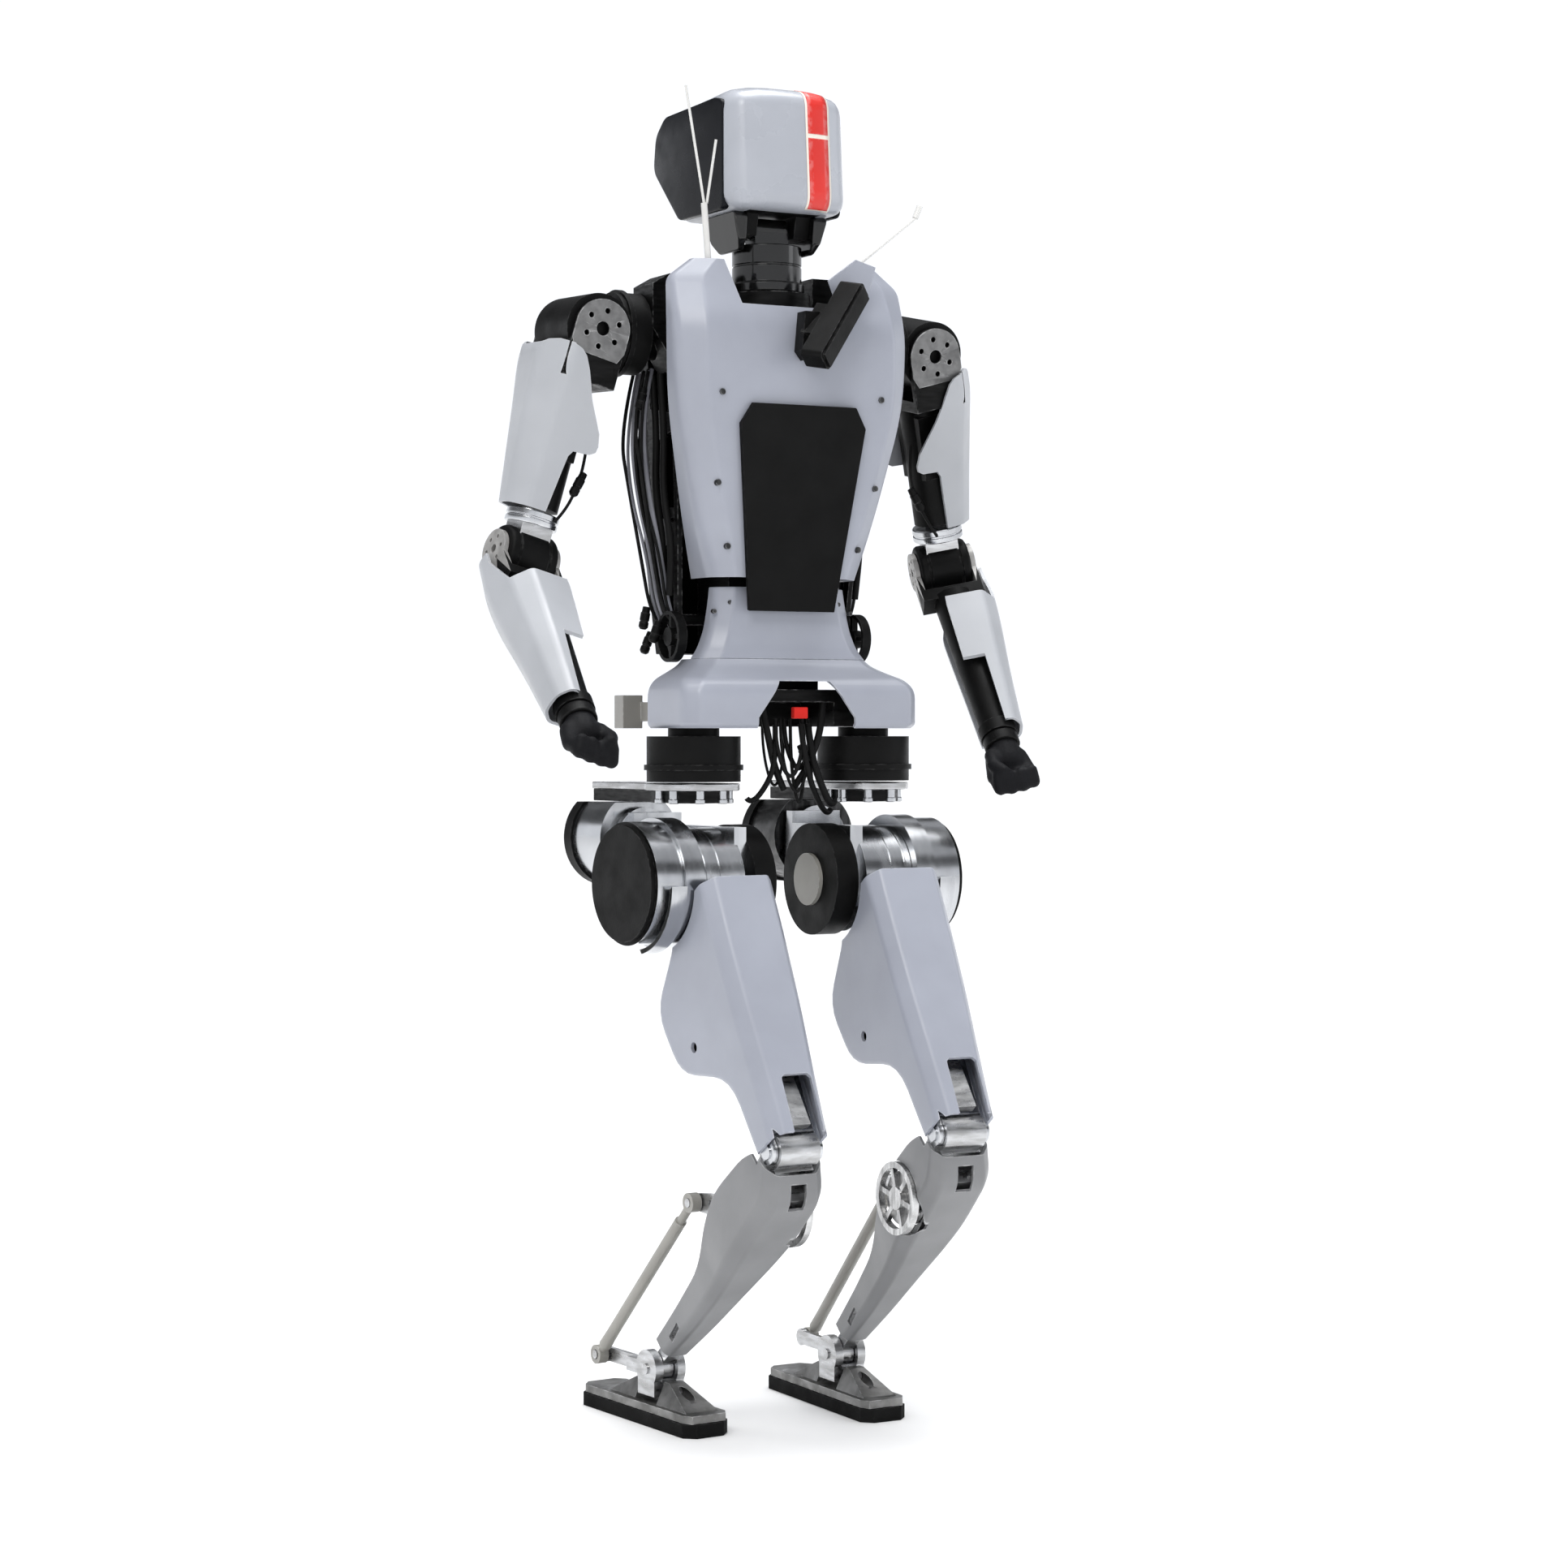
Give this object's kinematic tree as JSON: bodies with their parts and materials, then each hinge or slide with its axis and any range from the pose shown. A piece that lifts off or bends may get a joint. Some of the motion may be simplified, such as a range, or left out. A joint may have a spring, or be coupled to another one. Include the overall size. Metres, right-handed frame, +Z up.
{
  "type": "humanoid robot",
  "caption": "Adult-size walking humanoid robot in mid-stride, knees bent: pale shell covers over black frame and motors, bright hip drives, flat feet.",
  "frame": {"origin": "on the floor under the middle of the bounding box, with the robot in its walking stance", "axes": "+Z up, -Y the way the robot faces, +X to the robot's left"},
  "size_m": [0.6875, 0.4467, 1.5265],
  "materials": {
    "aluminium": "machined and polished",
    "black_metal": "black anodised, satin",
    "black_plastic": "matte black",
    "black_plate": "smooth near-black",
    "cable": "matte black",
    "cover_paint": "satin pale blue-grey paint",
    "dark_plastic": "matte charcoal",
    "grey_metal": "grey hard-anodised",
    "rubber": "matte black",
    "steel": "bright",
    "stripe": "glossy red-orange"
  },
  "bodies": {
    "torso": {"torso_frame": "black_metal", "chest_cover": "cover_paint", "belly_plate": "black_plate", "waist_cover": "cover_paint", "pelvis_tray": "cover_paint", "back_cover": "dark_plastic", "rear_module": "cover_paint", "depth_camera": "dark_plastic", "antennas": "black_plastic", "cover_screws": "steel", "torso_cables": "cable", "cooling_fans": "black_plastic", "hip_yaw_drives": "black_metal"},
    "neck": {"neck_column": "black_plastic"},
    "head": {"head_base": "dark_plastic", "head_shell": "cover_paint", "head_side_panels": "dark_plastic", "head_stripe": "stripe"},
    "right_shoulder": {"right_shoulder_drive": "black_metal"},
    "right_upper_arm": {"right_shoulder_yoke": "grey_metal", "right_upper_arm_drive": "black_metal", "right_upper_arm_cover": "cover_paint"},
    "right_elbow": {"right_elbow_bracket": "black_metal"},
    "right_forearm": {"right_forearm_frame": "grey_metal", "right_forearm_cover": "cover_paint"},
    "right_wrist": {"right_hand": "black_plastic"},
    "right_hip_yaw": {"right_hip_yaw_bracket": "aluminium", "right_hip_roll_drive": "aluminium"},
    "right_hip_roll": {"right_hip_pitch_drive": "aluminium"},
    "right_thigh": {"right_thigh_drive_cap": "black_metal", "right_thigh_cover": "cover_paint", "right_thigh_frame": "black_metal"},
    "right_shank": {"right_shank_cover": "cover_paint", "right_shank_frame": "black_metal"},
    "right_crank": {"right_ankle_crank": "grey_metal"},
    "right_rod": {"right_ankle_rod": "steel"},
    "right_ankle": {"right_ankle_cross": "aluminium"},
    "right_foot": {"right_foot_plate": "aluminium", "right_foot_sole": "rubber"},
    "left_shoulder": {"left_shoulder_drive": "black_metal"},
    "left_upper_arm": {"left_shoulder_yoke": "grey_metal", "left_upper_arm_drive": "black_metal", "left_upper_arm_cover": "cover_paint"},
    "left_elbow": {"left_elbow_bracket": "black_metal"},
    "left_forearm": {"left_forearm_frame": "grey_metal", "left_forearm_cover": "cover_paint"},
    "left_wrist": {"left_hand": "black_plastic"},
    "left_hip_yaw": {"left_hip_yaw_bracket": "aluminium", "left_hip_roll_drive": "aluminium"},
    "left_hip_roll": {"left_hip_pitch_drive": "aluminium"},
    "left_thigh": {"left_thigh_drive_cap": "black_metal", "left_thigh_cover": "cover_paint", "left_thigh_frame": "black_metal"},
    "left_shank": {"left_shank_cover": "cover_paint", "left_shank_frame": "black_metal"},
    "left_crank": {"left_ankle_crank": "grey_metal"},
    "left_rod": {"left_ankle_rod": "steel"},
    "left_ankle": {"left_ankle_cross": "aluminium"},
    "left_foot": {"left_foot_plate": "aluminium", "left_foot_sole": "rubber"}
  },
  "joints": [
    {"name": "neck_yaw", "type": "hinge", "parent": "torso", "child": "neck", "pos_m": [0.0074, 0.04385, 1.292], "axis": [0, 0, 1], "range_deg": [-45, 45]},
    {"name": "head_pitch", "type": "hinge", "parent": "neck", "child": "head", "pos_m": [0.0074, 0.04385, 1.366], "axis": [1, 0, 0], "range_deg": [-15, 20]},
    {"name": "right_shoulder_pitch", "type": "hinge", "parent": "torso", "child": "right_shoulder", "pos_m": [-0.2086, 0.07885, 1.242], "axis": [-1, 0, 0], "range_deg": [-35, 70]},
    {"name": "right_shoulder_roll", "type": "hinge", "parent": "right_shoulder", "child": "right_upper_arm", "pos_m": [-0.2086, 0.07885, 1.242], "axis": [0, 0.9989, 0.0471], "range_deg": [-8, 75]},
    {"name": "right_arm_yaw", "type": "hinge", "parent": "right_upper_arm", "child": "right_elbow", "pos_m": [-0.27924, 0.09093, 0.98584], "axis": [0.2656, -0.0454, 0.963], "range_deg": [-45, 22]},
    {"name": "right_elbow_bend", "type": "hinge", "parent": "right_elbow", "child": "right_forearm", "pos_m": [-0.27924, 0.09093, 0.98584], "axis": [-0.9588, -0.1169, 0.2589], "range_deg": [-42, 55]},
    {"name": "right_wrist_turn", "type": "hinge", "parent": "right_forearm", "child": "right_wrist", "pos_m": [-0.30275, -0.10298, 0.81122], "axis": [0.0897, 0.7401, 0.6665], "range_deg": [-60, 60]},
    {"name": "right_hip_yaw_turn", "type": "hinge", "parent": "torso", "child": "right_hip_yaw", "pos_m": [-0.1026, 0.01285, 0.622], "axis": [0, 0, 1], "range_deg": [-10, 7]},
    {"name": "right_hip_roll_turn", "type": "hinge", "parent": "right_hip_yaw", "child": "right_hip_roll", "pos_m": [-0.1026, 0.01285, 0.668], "axis": [-0.0872, 0.9962, 0], "range_deg": [-3, 14]},
    {"name": "right_hip_pitch_turn", "type": "hinge", "parent": "right_hip_roll", "child": "right_thigh", "pos_m": [-0.1026, 0.01285, 0.622], "axis": [-0.9962, -0.0872, 0], "range_deg": [-45, 40]},
    {"name": "right_knee_bend", "type": "hinge", "parent": "right_thigh", "child": "right_shank", "pos_m": [-0.08527, -0.18526, 0.34009], "axis": [0.9962, 0.0872, 0], "range_deg": [-72, 22]},
    {"name": "right_ankle_pitch", "type": "hinge", "parent": "right_shank", "child": "right_ankle", "pos_m": [-0.10885, 0.08429, 0.062], "axis": [-0.9962, -0.0872, 0], "range_deg": [-28, 14]},
    {"name": "right_ankle_roll", "type": "hinge", "parent": "right_ankle", "child": "right_foot", "pos_m": [-0.10885, 0.08429, 0.04], "axis": [-0.0872, 0.9962, 0], "range_deg": [-12, 12]},
    {"name": "right_crank_turn", "type": "hinge", "parent": "right_shank", "child": "right_crank", "pos_m": [-0.09097, -0.12008, 0.26423], "axis": [-0.9962, -0.0872, 0], "range_deg": [-28, 14]},
    {"name": "right_rod_swing", "type": "hinge", "parent": "right_crank", "child": "right_rod", "pos_m": [-0.10038, -0.01249, 0.26423], "axis": [-0.9962, -0.0872, 0], "range_deg": [-14, 28]},
    {"name": "left_shoulder_pitch", "type": "hinge", "parent": "torso", "child": "left_shoulder", "pos_m": [0.2234, 0.07885, 1.242], "axis": [-1, 0, 0], "range_deg": [-35, 70]},
    {"name": "left_shoulder_roll", "type": "hinge", "parent": "left_shoulder", "child": "left_upper_arm", "pos_m": [0.2234, 0.07885, 1.242], "axis": [0, -0.981, -0.1942], "range_deg": [-8, 75]},
    {"name": "left_arm_yaw", "type": "hinge", "parent": "left_upper_arm", "child": "left_elbow", "pos_m": [0.29448, 0.12864, 0.99056], "axis": [0.2672, 0.1872, -0.9453], "range_deg": [-45, 8]},
    {"name": "left_elbow_bend", "type": "hinge", "parent": "left_elbow", "child": "left_forearm", "pos_m": [0.29448, 0.12864, 0.99056], "axis": [-0.9165, 0.3525, -0.1893], "range_deg": [-42, 55]},
    {"name": "left_wrist_turn", "type": "hinge", "parent": "left_forearm", "child": "left_wrist", "pos_m": [0.27467, -0.03306, 0.78536], "axis": [-0.0756, -0.6172, -0.7832], "range_deg": [-60, 60]},
    {"name": "left_hip_yaw_turn", "type": "hinge", "parent": "torso", "child": "left_hip_yaw", "pos_m": [0.1174, 0.01285, 0.622], "axis": [0, 0, -1], "range_deg": [-8, 12]},
    {"name": "left_hip_roll_turn", "type": "hinge", "parent": "left_hip_yaw", "child": "left_hip_roll", "pos_m": [0.1174, 0.01285, 0.668], "axis": [0, -1, 0], "range_deg": [-3, 14]},
    {"name": "left_hip_pitch_turn", "type": "hinge", "parent": "left_hip_roll", "child": "left_thigh", "pos_m": [0.1174, 0.01285, 0.622], "axis": [-1, 0, 0], "range_deg": [-45, 40]},
    {"name": "left_knee_bend", "type": "hinge", "parent": "left_thigh", "child": "left_shank", "pos_m": [0.1174, -0.19813, 0.34903], "axis": [1, 0, 0], "range_deg": [-72, 22]},
    {"name": "left_ankle_pitch", "type": "hinge", "parent": "left_shank", "child": "left_ankle", "pos_m": [0.1174, 0.06295, 0.062], "axis": [-1, 0, 0], "range_deg": [-28, 14]},
    {"name": "left_ankle_roll", "type": "hinge", "parent": "left_ankle", "child": "left_foot", "pos_m": [0.1174, 0.06295, 0.04], "axis": [0, -1, 0], "range_deg": [-12, 12]},
    {"name": "left_crank_turn", "type": "hinge", "parent": "left_shank", "child": "left_crank", "pos_m": [0.1174, -0.13528, 0.27101], "axis": [-1, 0, 0], "range_deg": [-28, 14]},
    {"name": "left_rod_swing", "type": "hinge", "parent": "left_crank", "child": "left_rod", "pos_m": [0.1174, -0.02728, 0.27101], "axis": [-1, 0, 0], "range_deg": [-14, 28]}
  ],
  "couplings": [
    {"joint": "right_crank_turn", "follows": "right_ankle_pitch", "ratio": 1},
    {"joint": "right_rod_swing", "follows": "right_ankle_pitch", "ratio": -1},
    {"joint": "left_crank_turn", "follows": "left_ankle_pitch", "ratio": 1},
    {"joint": "left_rod_swing", "follows": "left_ankle_pitch", "ratio": -1}
  ]
}
